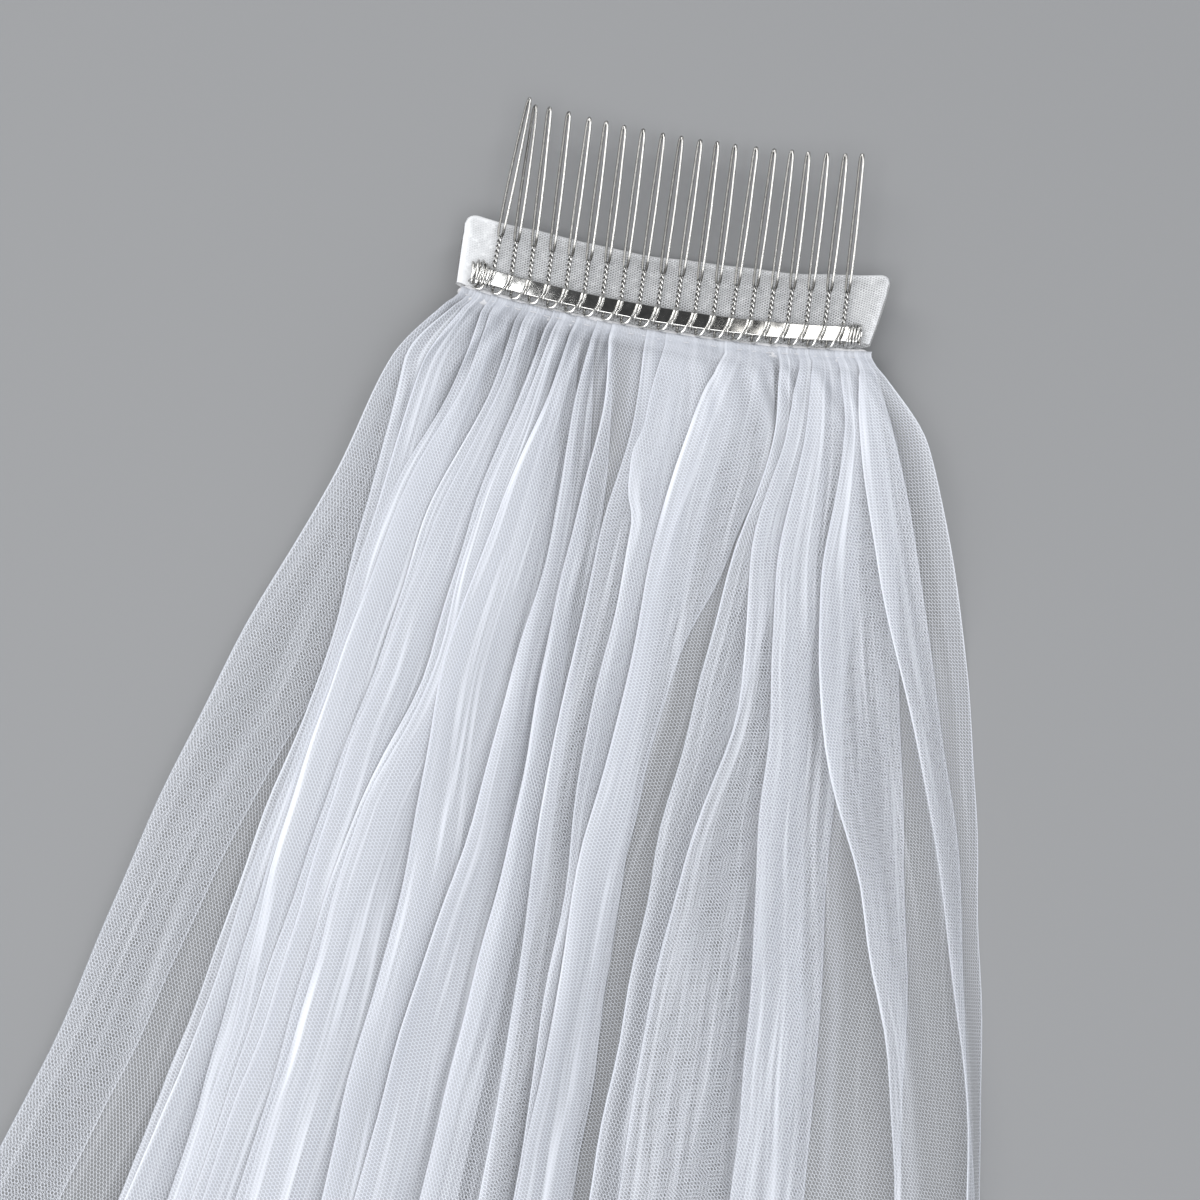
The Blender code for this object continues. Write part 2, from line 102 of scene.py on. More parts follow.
# bottom creases, left to right; the first and the last are the free side edges
HEELS = (
    (-41.6, -47.5, -49.3, -50.6, -60.0, -70.5, -240.0),
    (-39.0, -41.5, -38.0, -40.5, -44.0, -47.5, -218.0),
    (-36.4, -36.8, -35.0, -37.0, -40.6, -44.0, -198.0),
    (-33.6, -33.2, -32.0, -33.5, -36.5, -40.0, -178.0),
    (-30.6, -29.8, -28.8, -30.0, -32.2, -35.5, -158.0),
    (-27.6, -26.6, -25.0, -26.2, -27.2, -30.0, -138.0),
    (-24.6, -23.6, -21.3, -22.0, -22.2, -25.2, -119.0),
    (-21.8, -20.6, -18.0, -18.0, -18.2, -21.0, -100.0),
    (-19.0, -17.6, -14.5, -14.0, -13.8, -16.5, -82.0),
    (-16.4, -14.5, -11.2, -10.0, -9.5, -11.5, -64.0),
    (-13.4, -11.2, -8.2, -7.2, -6.6, -8.0, -47.0),
    (-9.8, -7.5, -5.2, -4.8, -4.6, -3.9, -30.0),
    (6.5, 9.0, 8.8, 8.4, 8.6, 9.3, -13.0),
    (13.0, 14.0, 13.2, 10.2, 9.5, 10.2, 6.0),
    (22.0, 24.0, 19.6, 11.7, 10.3, 11.0, 24.0),
    (27.6, 30.9, 29.7, 25.9, 20.9, 18.9, 50.0),
    (31.6, 34.0, 36.7, 38.7, 43.5, 48.0, 66.0),
    (36.6, 41.5, 43.5, 45.2, 47.6, 51.0, 96.0),
    (40.4, 46.0, 51.5, 56.8, 62.1, 67.6, 126.0),
    (41.9, 48.3, 56.4, 64.8, 72.4, 80.4, 160.0),
    (42.9, 54.7, 63.0, 70.0, 75.9, 81.8, 190.0),
)

# the photograph shows the cloth down to here; below it waves and streaks get longer
SEEN_LENGTH = 160.0
# the net's top row lies past the middle of the seam roll and dips into it
NET_TOP = -2.3
# width over which the net is gathered
SEAM_SPAN = 84.0
# a line wanders in three waves: size of the largest, and about its length for the crests and for
# the bottom creases
WANDER_SIZE = 0.32
CREST_WAVE = 75.0
HEEL_WAVE = 85.0
# one fold has a small sideways kink, where it was pinched
KINKED_FOLD = 13
KINK_SHIFT = 1.9
KINK_DOWN = 27.0
KINK_LENGTH = 7.5
# least room between neighbouring lines, and from a crest to the bottom crease of the panel that
# rises to it and of the panel that falls from it
LINE_ROOM = 0.45
RISING_ROOM = 0.8
FALLING_ROOM = 1.2
# columns of faces in a panel
PANEL_COLUMNS = 29
# a crease turns over at this radius, or at this share of the heap's height where that is less
TURN_RADIUS = 0.22
TURN_SHARE = 0.045
# least height of the net over the table
TABLE_ROOM = 0.12

# width of one cell of the net, and its length as a share of a regular cell's
NET_PITCH = 0.76
NET_STRETCH = 0.80
# size of the streaks across and along the folds; their width is true at STREAK_ROW down the cloth
STREAK_WIDTH = 2.5
STREAK_LENGTH = 70.0
STREAK_ROW = 110.0
# a streak shows where its noise is above this
STREAK_LEVEL = 0.54
# cells of the pressed layers, and size of the band's streaks
BAND_PITCH = 0.55
SEAM_PITCH = 0.50
BAND_STREAK = 1.3

# ------------------------------------------------------------------------ wire of the comb
WIRE = 0.27
STEM_WIRE = 0.235
# heights of the wire: level with the strip's middle, over the strip, and under it
LEVEL = STRIP_UNDERSIDE + STRIP_THICK / 2.0
FRONT = STRIP_UNDERSIDE + STRIP_THICK + WIRE + 0.02
UNDER = 3.47
# where a tooth's own stretch of the wire begins, as seen from the tooth's foot
HOOK_X = -2.90
HOOK_Y = -2.62
HOOK_Z = 3.55

# --------------------------------------------------------------- camera and lights, metres
CAMERA_LENS = 89.24
CAMERA_PLACE = (0.06427, 0.13071, 0.53259)
CAMERA_TARGET = (0.03463, 0.30120, 0.0)
LIGHT_TARGET = (0.038, 0.30, 0.0)
# name, place, width and length, watts, colour
LIGHTS = (
    ("softbox_left", (-0.62, 0.70, 0.86), (0.55, 0.70), 4.4, (1.0, 0.99, 0.97)),
    ("softbox_right", (0.545, 0.79, 0.92), (0.15, 0.50), 1.7, (0.97, 0.985, 1.0)),
    ("softbox_above", (0.05, -0.22, 1.15), (1.1, 0.8), 13.1, (0.985, 0.99, 1.0)),
)
FLOOR_SIZE = 3.0


# ----------------------------------------------------------------------- small helpers
def smooth(a, b, x):
    """0 below a, 1 above b, and a soft change between them."""
    t = np.clip((x - a) / (b - a), 0.0, 1.0)
    return t * t * (3.0 - 2.0 * t)


def fade(a, b, x):
    """1 below a, 0 above b, and a soft change between them."""
    return 1.0 - smooth(a, b, x)


def bell(distance, width):
    """1 at no distance, falling softly to 0 on both sides."""
    return np.exp(-(distance / width) ** 2)


def rounded(t):
    """Quarter of a circle, rising upright from 0 at t = 0 to level at 1."""
    return np.sqrt(1.0 - (1.0 - np.clip(t, 0.0, 1.0)) ** 2)


def slower_below(down, share):
    """Distance down the cloth that runs at this share of its speed below the seen part."""
    return np.where(down < SEEN_LENGTH, down, SEEN_LENGTH + share * (down - SEEN_LENGTH))


def hermite(ys, slopes, i, t, length=1.0):
    """Cubic from value i to value i + 1, at share t of the way."""
    return ((2 * t ** 3 - 3 * t ** 2 + 1) * ys[i] + (t ** 3 - 2 * t ** 2 + t) * length * slopes[i]
            + (3 * t ** 2 - 2 * t ** 3) * ys[i + 1] + (t ** 3 - t ** 2) * length * slopes[i + 1])


def follow(xs, ys, x):
    """Values at x of the curve through xs, ys that does not overshoot."""
    xs = np.asarray(xs, float)
    ys = np.asarray(ys, float)
    step = np.diff(ys) / np.diff(xs)
    slopes = np.empty(len(xs))
    slopes[0] = step[0]
    slopes[-1] = step[-1]
    for i in range(1, len(xs) - 1):
        a, b = step[i - 1], step[i]
        slopes[i] = 0.0 if a * b <= 0.0 else 2.0 * a * b / (a + b)
    i = np.clip(np.searchsorted(xs, x, side="right") - 1, 0, len(xs) - 2)
    length = xs[i + 1] - xs[i]
    return hermite(ys, slopes, i, np.clip((x - xs[i]) / length, 0.0, 1.0), length)


def curve_through(points, count):
    """This many points on a smooth curve through the given ones."""
    p = np.asarray(points, float)
    s = np.linspace(0.0, len(p) - 1.0, count)
    i = np.clip(s.astype(int), 0, len(p) - 2)
    return np.stack([hermite(values, np.gradient(values), i, s - i) for values in p.T], 1)


def on_comb(x, y, z, share=1.0):
    """Bend points with the comb: x runs along the spine's curve."""
    angle = x / COMB_RADIUS
    bent_x = (COMB_RADIUS - z) * np.sin(angle)
    bent_z = COMB_RADIUS - (COMB_RADIUS - z) * np.cos(angle)
    return np.stack(np.broadcast_arrays(x + (bent_x - x) * share, y, z + (bent_z - z) * share), -1)


def placed(points):
    """Comb plan in millimetres to the shared frame in metres, one point a row."""
    return ((np.asarray(points, float) + (SHIFT_X, SHIFT_Y, 0.0)) * MM).reshape(-1, 3)


def mesh_piece(name, verts, faces, material, uv_maps=None, painted=None, smooth_shade=True):
    """A mesh with UV maps, one pair a face corner, and painted attributes, one value a point."""
    mesh = bpy.data.meshes.new(name)
    mesh.from_pydata([tuple(v) for v in verts], [], [tuple(f) for f in faces])
    for map_name, values in (uv_maps or {}).items():
        layer = mesh.uv_layers.new(name=map_name)
        layer.data.foreach_set("uv", np.asarray(values, float).ravel())
    for attribute_name, values in (painted or {}).items():
        layer = mesh.attributes.new(attribute_name, "FLOAT", "POINT")
        layer.data.foreach_set("value", np.asarray(values, np.float32).ravel())
    mesh.polygons.foreach_set("use_smooth", [smooth_shade] * len(mesh.polygons))
    mesh.update()
    mesh.materials.append(material)
    obj = bpy.data.objects.new(name, mesh)
    bpy.context.scene.collection.objects.link(obj)
    return obj


def face_corners(rows, cols, closed=False):
    """Row and column of the corners of each face of a grid of points.

    On a closed grid the columns count on by one, to where the first one is met again.
    """
    row = np.arange(rows - 1)[:, None, None] + np.array((0, 0, 1, 1))
    col = np.arange(cols if closed else cols - 1)[None, :, None] + np.array((0, 1, 1, 0))
    row, col = np.broadcast_arrays(row, col)
    return row.reshape(-1, 4), col.reshape(-1, 4)


def grid_faces(rows, cols, closed=False):
    """Quads of a grid of rows x cols points, optionally closed across."""
    row, col = face_corners(rows, cols, closed)
    return row * cols + col % cols


def tube_faces(rows, sides):
    """Faces of a tube of rows x sides points, with a flat cap at each end."""
    faces = [tuple(quad) for quad in grid_faces(rows, sides, True)]
    faces.append(tuple(range(sides - 1, -1, -1)))
    faces.append(tuple((rows - 1) * sides + np.arange(sides)))
    return faces


def ring_angles(sides):
    return 2.0 * math.pi * np.arange(sides) / sides


def tube(points, radius, sides):
    """Round closed wire through the points (mm, already bent)."""
    p = np.asarray(points, float)
    n = len(p)
    tangent = np.gradient(p, axis=0)
    tangent /= np.linalg.norm(tangent, axis=1)[:, None]
    normal = np.zeros_like(p)
    start = np.array((0.0, 0.0, 1.0))
    if abs(tangent[0] @ start) > 0.9:
        start = np.array((1.0, 0.0, 0.0))
    normal[0] = start - tangent[0] * (tangent[0] @ start)
    normal[0] /= np.linalg.norm(normal[0])
    for i in range(1, n):
        v = normal[i - 1] - tangent[i] * (tangent[i] @ normal[i - 1])
        normal[i] = v / np.linalg.norm(v)
    side = np.cross(tangent, normal)
    r = np.broadcast_to(radius, n)
    a = ring_angles(sides)
    ring = (p[:, None, :] + r[:, None, None] * (np.cos(a)[None, :, None] * normal[:, None, :]
            + np.sin(a)[None, :, None] * side[:, None, :]))
    return ring.reshape(-1, 3), tube_faces(n, sides)


# --------------------------------------------------------------------------- materials
def new_material(name):
    mat = bpy.data.materials.new(name)
    mat.use_nodes = True
    tree = mat.node_tree
    return mat, tree, tree.nodes["Principled BSDF"]


def set_inputs(node, values):
    """Plain values on the sockets of a node, by their names."""
    for socket, value in values.items():
        node.inputs[socket].default_value = value


def operate(tree, node, values, output):
    """Give a node its values or links, and return its output."""
    for socket, value in zip(node.inputs, values):
        if isinstance(value, (int, float, tuple)):
            socket.default_value = value
        else:
            tree.links.new(value, socket)
    return node.outputs[output]


def math_node(tree, operation, *values, clamp=False):
    node = tree.nodes.new("ShaderNodeMath")
    node.operation = operation
    node.use_clamp = clamp
    return operate(tree, node, values, "Value")


def vector_node(tree, operation, *values):
    node = tree.nodes.new("ShaderNodeVectorMath")
    node.operation = operation
    return operate(tree, node, values, "Value" if operation == "DOT_PRODUCT" else "Vector")


def attribute(tree, name):
    """The value painted on the mesh under this name."""
    node = tree.nodes.new("ShaderNodeAttribute")
    node.attribute_name = name
    return node.outputs["Fac"]


def uv_map(tree, name):
    node = tree.nodes.new("ShaderNodeUVMap")
    node.uv_map = name
    return node.outputs["UV"]


def noise(tree, vector, scale, detail, roughness=0.5, dimensions="3D"):
    node = tree.nodes.new("ShaderNodeTexNoise")
    node.noise_dimensions = dimensions
    set_inputs(node, {"Scale": scale, "Detail": detail, "Roughness": roughness})
    tree.links.new(vector, node.inputs["Vector"])
    return node.outputs["Fac"]


def blend_colours(tree, factor, low, high):
    node = tree.nodes.new("ShaderNodeMix")
    node.data_type = "RGBA"
    tree.links.new(factor, node.inputs["Factor"])
    set_inputs(node, {"A": (*low, 1.0), "B": (*high, 1.0)})
    return node.outputs["Result"]


def map_range(tree, value, limits):
    node = tree.nodes.new("ShaderNodeMapRange")
    set_inputs(node, limits)
    tree.links.new(value, node.inputs["Value"])
    return node.outputs["Result"]


def add_bump(tree, bsdf, height, strength, distance):
    node = tree.nodes.new("ShaderNodeBump")
    set_inputs(node, {"Strength": strength, "Distance": distance})
    tree.links.new(height, node.inputs["Height"])
    tree.links.new(node.outputs["Normal"], bsdf.inputs["Normal"])


def thread_distance(tree, vector, pitch):
    """Distance from the nearest thread of a six-sided net, as a share of half the pitch."""
    high = (pitch * 0.5, pitch * 0.5 * math.sqrt(3.0), 1.0)
    low = (-high[0], -high[1], -1.0)
    first = vector_node(tree, "WRAP", vector, high, low)
    moved = vector_node(tree, "ADD", vector, (high[0], high[1], 0.0))
    second = vector_node(tree, "WRAP", moved, high, low)
    nearer = math_node(tree, "LESS_THAN", vector_node(tree, "DOT_PRODUCT", first, first),
                       vector_node(tree, "DOT_PRODUCT", second, second))
    pick = tree.nodes.new("ShaderNodeMix")
    pick.data_type = "VECTOR"
    for socket, source in (("Factor", nearer), ("A", second), ("B", first)):
        tree.links.new(source, pick.inputs[socket])
    cell = vector_node(tree, "ABSOLUTE", pick.outputs["Result"])
    slanted = vector_node(tree, "DOT_PRODUCT", cell, (0.5, 0.5 * math.sqrt(3.0), 0.0))
    straight = vector_node(tree, "DOT_PRODUCT", cell, (1.0, 0.0, 0.0))
    # the threads of one direction are finer, as in machine-made net
    finer = 0.93
    reach = math_node(tree, "MAXIMUM", slanted, math_node(tree, "MULTIPLY", straight, finer))
    return math_node(tree, "MULTIPLY_ADD", reach, -2.0 / pitch, 1.0)


def net_material(name, colour_low, colour_high, pitch, thread, soft, streaks):
    """White net with open holes. The cover attribute and fine streaks along the folds stand for
    threads that lie so close together that their holes no longer show."""
    mat, tree, bsdf = new_material(name)
    inside = math_node(tree, "SUBTRACT", thread, thread_distance(tree, uv_map(tree, "net"), pitch))
    threads = math_node(tree, "MULTIPLY_ADD", inside, 1.0 / soft, 0.5, clamp=True)
    streak = noise(tree, uv_map(tree, "fan"), 1.0, 2.0, roughness=0.7, dimensions="2D")
    line = math_node(tree, "MULTIPLY_ADD", streak, streaks, -STREAK_LEVEL * streaks)
    line = math_node(tree, "MULTIPLY", math_node(tree, "MAXIMUM", line, 0.0), attribute(tree, "drawn"))
    fill = math_node(tree, "ADD", attribute(tree, "cover"), line, clamp=True)
    open_part = math_node(tree, "MULTIPLY", math_node(tree, "SUBTRACT", 1.0, threads),
                          math_node(tree, "SUBTRACT", 1.0, fill))
    tree.links.new(math_node(tree, "SUBTRACT", 1.0, open_part, clamp=True), bsdf.inputs["Alpha"])
    # the dim attribute darkens the cloth where the comb keeps the light off
    lit = tree.nodes.new("ShaderNodeVectorMath")
    lit.operation = "SCALE"
    tree.links.new(blend_colours(tree, streak, colour_low, colour_high), lit.inputs[0])
    tree.links.new(math_node(tree, "SUBTRACT", 1.0, attribute(tree, "dim")), lit.inputs["Scale"])
    tree.links.new(lit.outputs["Vector"], bsdf.inputs["Base Color"])
    set_inputs(bsdf, {"Roughness": 0.62, "Specular IOR Level": 0.35, "Sheen Weight": 0.15,
                      "Sheen Roughness": 0.4})
    return mat


def metal_material():
    """Polished plated wire; a painted value sets how bright each stretch is: its own tone, and painted
    highlights and painted shade on the teeth and hooks.
    """
    mat, tree, bsdf = new_material("polished_comb_wire")
    where = tree.nodes.new("ShaderNodeTexCoord")
    grain = noise(tree, where.outputs["Object"], 900.0, 3.0)
    factor = math_node(tree, "MULTIPLY_ADD", grain, 0.25, -0.125)
    # painted light: the painted value lifts the metal's colour from near black, for painted highlights and
    # painted shade
    factor = math_node(tree, "ADD", factor, attribute(tree, "tone_and_painted_light"), clamp=True)
    colour = blend_colours(tree, factor, (0.035, 0.033, 0.031), (0.80, 0.79, 0.765))
    tree.links.new(colour, bsdf.inputs["Base Color"])
    rough = map_range(tree, grain, {"To Min": 0.07, "To Max": 0.20})
    tree.links.new(rough, bsdf.inputs["Roughness"])
    add_bump(tree, bsdf, grain, 0.12, 0.04 * MM)
    set_inputs(bsdf, {"Metallic": 1.0})
    return mat


def cloth_material(name, colour_low, colour_high, pitch, bump_size, noise_scale):
    """Close layers of net pressed together: no holes, a fine woven relief. Their colour follows the relief:
    painted shade in its hollows, and random mottling.
    """
    mat, tree, bsdf = new_material(name)
    net_uv = uv_map(tree, "net")
    relief = math_node(tree, "MULTIPLY_ADD", thread_distance(tree, net_uv, pitch), -0.35,
                       noise(tree, net_uv, noise_scale, 4.0))
    # painted shade: the colour is darker in the hollows of the relief, and mottled at random by the noise
    tree.links.new(blend_colours(tree, relief, colour_low, colour_high), bsdf.inputs["Base Color"])
    add_bump(tree, bsdf, relief, 0.6, bump_size)
    set_inputs(bsdf, {"Roughness": 0.8, "Sheen Weight": 0.2})
    return mat


# ------------------------------------------------------------------------- the folded net
def wander(seed, values, size, wave):
    """A slow, repeatable wandering of one line along its length."""
    rng = random.Random(seed)
    total = np.zeros_like(values)
    for k in range(3):
        length = wave * (0.6 + 0.9 * rng.random()) / (1.0 + k)
        total += size / (1.0 + k) * np.sin(2.0 * math.pi * (values / length + rng.random()))
    return total


def fold_lines(down):
    """Crest and bottom lines of all folds at each row, in order and never touching."""
    crests = np.stack([follow(STOPS, line, down) for line in CRESTS], 1)
    heels = np.stack([follow(STOPS, line, down) for line in HEELS], 1)
    amount = smooth(6.0, 45.0, down) * (1.0 + 1.8 * smooth(SEEN_LENGTH, 500.0, down))
    slow = slower_below(down, 0.42)
    for lines, seed, wave in ((crests, 100, CREST_WAVE), (heels, 300, HEEL_WAVE)):
        for i in range(lines.shape[1]):
            lines[:, i] += amount * wander(seed + i, slow, WANDER_SIZE, wave)
    crests[:, KINKED_FOLD] -= KINK_SHIFT * np.exp(-((down - KINK_DOWN) / KINK_LENGTH) ** 4)
    for lines in (crests, heels):
        for i in range(1, lines.shape[1]):
            lines[:, i] = np.maximum(lines[:, i], lines[:, i - 1] + LINE_ROOM)
    # both bottom lines of a fold stay to the right of its crest
    for i in range(crests.shape[1]):
        heels[:, i] = np.maximum(heels[:, i], crests[:, i] + RISING_ROOM)
        heels[:, i + 1] = np.maximum(heels[:, i + 1], crests[:, i] + FALLING_ROOM)
    return crests, heels


def panel_lines(k, crests, heels):
    """Crest and bottom line of panel k: panels rise to a crest and fall from it in turn."""
    return crests[:, k // 2][:, None], heels[:, k // 2 + k % 2][:, None]


def heap_height(x, v, height, left, right):
    """Height of the heap of folds at each place: one value for all layers there."""
    across = (x - left) / (right - left)
    edge = 0.86 + 0.14 * smooth(0.0, 0.30, across) * fade(0.72, 1.0, across)
    rise = (0.10 * np.sin(2.0 * math.pi * (2.3 * across + 0.2 + v / 260.0))
            + 0.08 * np.sin(2.0 * math.pi * (5.1 * across + 0.6 - v / 170.0))
            + 0.06 * np.sin(2.0 * math.pi * (11.0 * across + 0.1 + v / 95.0)))
    sunk = 1.0 - 0.54 * smooth(0.0, 18.0, v) + 0.18 * smooth(40.0, 140.0, v)
    return height * edge * sunk * (0.97 + rise * smooth(10.0, 60.0, v))


def crease_cover(fold, v, near_crest, near_heel, rng):
    """Threads look closer together where the net turns over, more or less crisp along a crest."""
    own = random.Random(500 + fold)
    wave = np.sin(2.0 * math.pi * (v / (95.0 + 90.0 * own.random()) + own.random()))
    crisp = 0.45 + 0.55 * smooth(-0.7, 0.6, wave) if fold != KINKED_FOLD else 1.0
    crest = (bell(near_crest, 0.30) * (0.60 + 0.30 * rng.random()) * crisp
             + (0.04 + 0.20 * rng.random()) * bell(near_crest, 1.0 + 2.6 * rng.random()))
    heel = (bell(near_heel, 0.24) * (0.45 + 0.30 * rng.random())
            + (0.04 + 0.14 * rng.random()) * bell(near_heel, 0.8 + 2.4 * rng.random()))
    return np.maximum(crest, heel)


def net_panel(k, v, crests, heels, height, rng):
    """Places, heights and cover of panel k. Its columns run to the crest if it rises, or from it."""
    crest, heel = panel_lines(k, crests, heels)
    turn = np.minimum(TURN_RADIUS, TURN_SHARE * height)
    falling = k % 2 == 1
    # columns stand closer at both creases
    share = 0.5 * (1.0 - np.cos(math.pi * np.arange(PANEL_COLUMNS + 1) / PANEL_COLUMNS))[None, :]
    if not falling:
        share = share[:, ::-1]
    # slow swells inside the panel, so that it isn't a ruled strip
    swell = 0.020 * np.sin(2.0 * math.pi * (1.5 * share + rng.random()) + v / (9.0 + 14.0 * rng.random()))
    bent = share + swell * 4.0 * share * (1.0 - share) * smooth(5.0, 40.0, v)
    x = crest + (heel - crest) * bent
    drop = 0.38 * bent + 0.62 * bent * bent * (3.0 - 2.0 * bent)
    near_crest = np.clip(x - crest, 0.0, None)
    near_heel = np.clip(heel - x, 0.0, None)
    # a free side edge has no turn at its end
    free_edge = k in (0, 2 * len(CRESTS) - 1)
    round_heel = 1.0 if free_edge else rounded(near_heel / turn)
    side = 1.0 if falling else -1.0
    offset = side * turn * ((1.0 - bent) * rounded(near_crest / turn) - bent * round_heel)
    heap = heap_height(x, v, height, crests[:, :1], heels[:, -1:])
    z = 0.15 + turn + heap * (1.0 - drop) + offset
    cover = crease_cover(k // 2, v, near_crest, near_heel, rng)
    # soft ridges inside the panel
    width = np.abs(heel - crest)
    for _ in range(3):
        place = 0.12 + 0.76 * rng.random()
        first = 170.0 * rng.random() - 60.0
        last = first + 40.0 + 110.0 * rng.random()
        ridge = bell((bent - place) * width, 0.45 + 0.6 * rng.random())
        along = smooth(first, first + 18.0, v) * fade(last, last + 25.0, v)
        cover = cover + (0.05 + 0.13 * rng.random()) * ridge * along
        z = z + 0.14 * ridge * along * smooth(12.0, 40.0, v)
    return x, z, cover


def joined(panels):
    """Panels side by side. Neighbours share their crease, so all but the last give up one column."""
    return np.concatenate([panel[:, :-1] for panel in panels[:-1]] + [panels[-1]], 1)


def layer_count(x, crests, heels):
    """How many panels lie on each other at each place."""
    soft = 0.6
    layers = np.zeros_like(x)
    for k in range(2 * len(CRESTS)):
        ends = panel_lines(k, crests, heels)
        low, high = np.minimum(*ends), np.maximum(*ends)
        layers += smooth(low - soft, low + soft, x) * fade(high - soft, high + soft, x)
    return layers


def sewing_gathers(fan, v):
    """Gathers drawn up by the sewing thread: they fan out with the cloth and fade one by one."""
    rng = random.Random(11)
    gather = np.zeros_like(fan)
    place = -1.0
    while place < SEAM_SPAN + 2.0:
        wide = 0.45 + 0.55 * rng.random()
        last = 8.0 + 34.0 * rng.random() ** 1.6
        high = (0.25 + 0.45 * rng.random()) * (1.0 if rng.random() < 0.75 else -0.7)
        gather += high * bell(fan - place, wide * (1.0 + v / 60.0)) * fade(0.3 * last, last, v)
        place += 1.1 + 1.1 * rng.random()
    return gather


def over_roll(z, gather, v):
    """The top of the cloth is laid over the seam roll, close to its surface."""
    beside = (VEIL_TOP_Y - v - RIDGE_MIDDLE) / (RIDGE_RADIUS * RIDGE_WIDER)
    roll = RIDGE_HEIGHT + RIDGE_LOWER * RIDGE_RADIUS * np.sqrt(np.clip(1.0 - beside ** 2, 0.0, 1.0))
    tucked = 0.30 * fade(NET_TOP, -1.9, v)
    top = roll + 0.05 - tucked + 0.10 * z + 0.35 * gather * smooth(NET_TOP, -1.0, v)
    return z + (top - z) * fade(-0.9, 1.6, v)


def whiter_gathers(cover, gather, v):
    """Streaks of close gathers below the seam, each with its own length."""
    column = np.arange(cover.shape[1])
    reach = (13.0 + 7.0 * np.sin(column * 0.37 + 1.0) + 5.0 * np.sin(column * 0.93)
             + 4.0 * np.sin(column * 2.3 + 2.0))
    close = np.exp(-(np.clip(v, 0.0, None) / np.maximum(reach, 5.0)) ** 1.25)
    close = np.clip(close + 0.45 * gather * fade(6.0, 30.0, v), 0.0, 1.0)
    return np.clip(cover * (1.0 - 0.4 * close) + 0.34 * close + 0.35 * fade(-0.6, 1.2, v), 0.0, 1.0)


def net_patterns(x, z, down):
    """Coordinates of the mesh, true to size on each panel, and of the streaks along the folds."""
    step = np.hypot(np.diff(x, axis=1), np.diff(z, axis=1))
    run = np.concatenate((np.zeros((len(x), 1)), np.cumsum(step, 1)), 1)
    row, col = face_corners(*x.shape)
    panel = col[:, :1] // PANEL_COLUMNS
    along = down[row]
    across = run[row, col] - run[row, panel * PANEL_COLUMNS + PANEL_COLUMNS // 2]
    across = across * np.where(panel % 2 == 0, 1.0, -1.0)
    # each panel has its own angle and shift of the mesh, so that neighbours don't match
    grain = 0.85 + 0.28 * np.sin(1.7 * panel)
    mesh_u = (across * np.cos(grain) - along * np.sin(grain) + 3.7 * panel) * MM
    mesh_v = (across * np.sin(grain) + along * np.cos(grain) + 1.9 * panel) * MM / NET_STRETCH
    wide_at = run[np.argmin(np.abs(down - STREAK_ROW))]
    streak_u = (wide_at[col] + 23.0 * panel) / STREAK_WIDTH
    streak_v = (slower_below(along, 0.35) + 31.0 * panel) / STREAK_LENGTH
    return {"net": np.stack((mesh_u, mesh_v), -1), "fan": np.stack((streak_u, streak_v), -1)}


def build_net(material):
    """The gathered net: panels between crests and bottom creases, laid over each other."""
    down = np.concatenate(([NET_TOP, -2.0, -1.6, -1.1, -0.6], np.arange(0.0, 20.0, 1.6),
                           np.arange(20.0, 60.0, 2.5), np.arange(60.0, 215.0, 5.0),
                           np.linspace(215.0, VEIL_LENGTH, 20)))
    v = down[:, None]
    crests, heels = fold_lines(down)
    height = follow(STOPS, HEIGHTS, down)[:, None]
    rng = random.Random(7)
    panels = [net_panel(k, v, crests, heels, height, rng) for k in range(2 * len(CRESTS))]
    x, z, cover = (joined(parts) for parts in zip(*panels))
    # where many layers lie on each other their threads fill each other's holes
    layers = layer_count(x, crests, heels)
    cover = cover * (1.0 - 0.22 * smooth(2.6, 4.6, layers)) + 0.075 * np.clip(layers - 2.6, 0.0, 4.0)
    drawn = 0.22 + 0.78 * smooth(1.6, 3.6, layers)
    left, right = crests[:, :1], heels[:, -1:]
    gather = sewing_gathers((x - left) / (right - left) * SEAM_SPAN, v)
    z = np.maximum(z + gather * smooth(-1.0, 3.0, v), TABLE_ROOM)
    # a short soft hollow between two gathers on the right
    hollow = bell(x - 33.8 - 0.18 * v, 1.3 - 0.05 * v.clip(0.0, 14.0))
    z = np.maximum(z - 1.5 * hollow * smooth(0.0, 4.0, v) * fade(7.0, 15.0, v), TABLE_ROOM)
    z = over_roll(z, gather, v)
    # the gathered top is a little narrower than the cloth just below it
    x = x * (0.972 + 0.028 * smooth(-1.5, 1.0, v))
    cover = whiter_gathers(cover, gather, v)
    # painted shade: the net's colour near the seam is darkened, where the comb keeps the light off
    dim = np.broadcast_to(0.29 * fade(-1.2, 4.0, v), x.shape)
    # a column that runs aslant doesn't reach as far down
    slant = (x[-1] - x[0]) / VEIL_LENGTH
    upright = np.sqrt(1.0 - np.clip(slant * slant, 0.0, 0.9))
    y = VEIL_TOP_Y - v * (1.0 - (1.0 - upright) * np.clip(v, 0.0, None) / VEIL_LENGTH)
    return mesh_piece("tulle_net_folds", placed(on_comb(x, y, z, fade(0.0, BEND_FADE, v))),
                      grid_faces(*x.shape), material, net_patterns(x, z, down),
                      {"cover": cover, "dim": dim, "drawn": drawn})


# --------------------------------------------------------------------- band and seam roll
def band_section():
    """Back face, fold and front face: shares of the height, of the thickness and of the fold."""
    face_points = 22
    fold_points = 9
    up = np.linspace(0.0, 1.0, face_points)
    bow = 0.72 + 0.28 * np.sin(math.pi * up)
    angle = np.linspace(-0.5 * math.pi, 0.5 * math.pi, fold_points + 2)[1:-1]
    share = np.concatenate((up, np.ones(fold_points), up[::-1]))
    out = np.concatenate((-bow, np.sin(angle), bow[::-1]))
    over = np.concatenate((np.zeros(face_points), np.cos(angle), np.zeros(face_points)))
    return share, out, over


